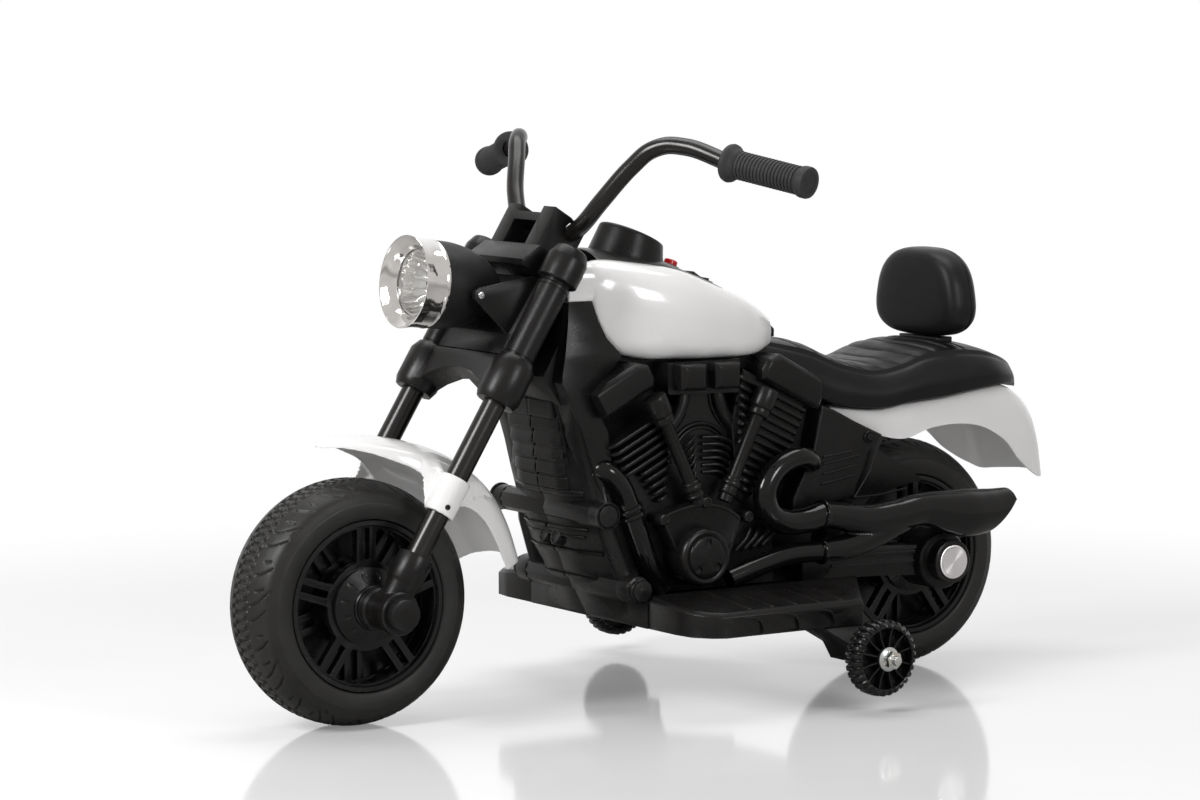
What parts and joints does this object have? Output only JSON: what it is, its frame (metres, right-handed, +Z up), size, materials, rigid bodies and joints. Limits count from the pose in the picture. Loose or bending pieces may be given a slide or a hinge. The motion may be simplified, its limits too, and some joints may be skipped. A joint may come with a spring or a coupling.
{
  "type": "kids ride-on motorcycle",
  "caption": "Battery ride-on motorcycle for children: chopper fork, moulded body with engine relief, seat with back pad, footboards, two main wheels and small stabiliser wheels.",
  "frame": {"origin": "on the ground under the middle of the bike's length, on its centre plane", "axes": "+X forward, +Y to the rider's left, +Z up"},
  "size_m": [1.05, 0.6276, 0.6132],
  "materials": {
    "black_plastic": "satin moulded",
    "gloss_black": "glossy",
    "white_plastic": "glossy moulded",
    "tyre_black": "blow moulded, satin",
    "grip_rubber": "matt",
    "chrome": "bright plated",
    "brushed_steel": "brushed",
    "zinc_steel": "bright zinc",
    "red_plastic": "glossy",
    "clear_lens": "clear",
    "lamp_blue": "clear tinted",
    "grey_case": "satin"
  },
  "bodies": {
    "frame": {"backrest": "black_plastic", "backrest_post": "black_plastic", "battery": "grey_case", "body_left": "black_plastic", "body_right": "black_plastic", "console": "black_plastic", "drive_gearbox": "grey_case", "engine_left": "black_plastic", "engine_right": "black_plastic", "exhaust_left": "gloss_black", "exhaust_right": "gloss_black", "footboard_left": "black_plastic", "footboard_right": "black_plastic", "pedal_pin": "zinc_steel", "rear_axle": "zinc_steel", "rear_axle_cap_left": "brushed_steel", "rear_axle_cap_right": "brushed_steel", "rear_fender": "white_plastic", "seat": "black_plastic", "speaker": "grey_case", "swing_arm_left": "black_plastic", "swing_arm_right": "black_plastic", "tank_cover_left": "white_plastic", "tank_cover_right": "white_plastic", "trainer_bolt_left": "zinc_steel", "trainer_bolt_right": "zinc_steel", "trainer_bracket_left": "black_plastic", "trainer_bracket_right": "black_plastic", "trainer_nut_left": "zinc_steel", "trainer_nut_right": "zinc_steel"},
    "steering": {"fork_cover_left": "black_plastic", "fork_cover_right": "black_plastic", "fork_leg_left": "black_plastic", "fork_leg_right": "black_plastic", "fork_tube_left": "gloss_black", "fork_tube_right": "gloss_black", "front_axle": "zinc_steel", "front_axle_cap_left": "black_plastic", "front_axle_cap_right": "black_plastic", "front_fender": "white_plastic", "grip_left": "grip_rubber", "grip_right": "grip_rubber", "handlebar": "gloss_black", "headlight_bowl": "black_plastic", "headlight_bracket": "black_plastic", "headlight_bulb": "lamp_blue", "headlight_lens": "clear_lens", "headlight_reflector": "chrome", "lower_clamp": "black_plastic", "steering_stem": "zinc_steel", "top_clamp": "black_plastic"},
    "front_wheel": {"front_rim": "black_plastic", "front_tyre": "tyre_black"},
    "rear_wheel": {"rear_rim": "black_plastic", "rear_tyre": "tyre_black"},
    "left_trainer": {"trainer_wheel_left": "black_plastic"},
    "right_trainer": {"trainer_wheel_right": "black_plastic"},
    "start_button": {"start_button": "red_plastic"},
    "power_switch": {"power_switch": "black_plastic"},
    "foot_pedal": {"foot_pedal": "black_plastic"}
  },
  "joints": [
    {"name": "steering_turn", "type": "hinge", "parent": "frame", "child": "steering", "pos_m": [0.20094, 0, 0.36131], "axis": [-0.5299, 0, 0.848], "range_deg": [-20, 20]},
    {"name": "front_wheel_spin", "type": "hinge", "parent": "steering", "child": "front_wheel", "pos_m": [0.395, 0, 0.13], "axis": [0, 1, 0], "continuous": true},
    {"name": "rear_wheel_spin", "type": "hinge", "parent": "frame", "child": "rear_wheel", "pos_m": [-0.317, 0, 0.13], "axis": [0, 1, 0], "continuous": true},
    {"name": "left_trainer_spin", "type": "hinge", "parent": "frame", "child": "left_trainer", "pos_m": [-0.112, 0.2523, 0.059], "axis": [0, 1, 0], "continuous": true},
    {"name": "right_trainer_spin", "type": "hinge", "parent": "frame", "child": "right_trainer", "pos_m": [-0.112, -0.2523, 0.059], "axis": [0, 1, 0], "continuous": true},
    {"name": "start_button_press", "type": "slide", "parent": "frame", "child": "start_button", "axis": [-0.3646, 0, 0.9312], "range_m": [-0.002, 0], "stiffness_N_per_m": 600, "springref_m": 0.001},
    {"name": "power_switch_rock", "type": "hinge", "parent": "frame", "child": "power_switch", "pos_m": [-0.047, 0, 0.45114], "axis": [0, 1, 0], "range_deg": [-8, 8]},
    {"name": "foot_pedal_press", "type": "hinge", "parent": "frame", "child": "foot_pedal", "pos_m": [0.031, -0.143, 0.1185], "axis": [0, 1, 0], "range_deg": [0, 6], "stiffness_Nm_per_rad": 0.6, "springref_deg": -3.44}
  ]
}
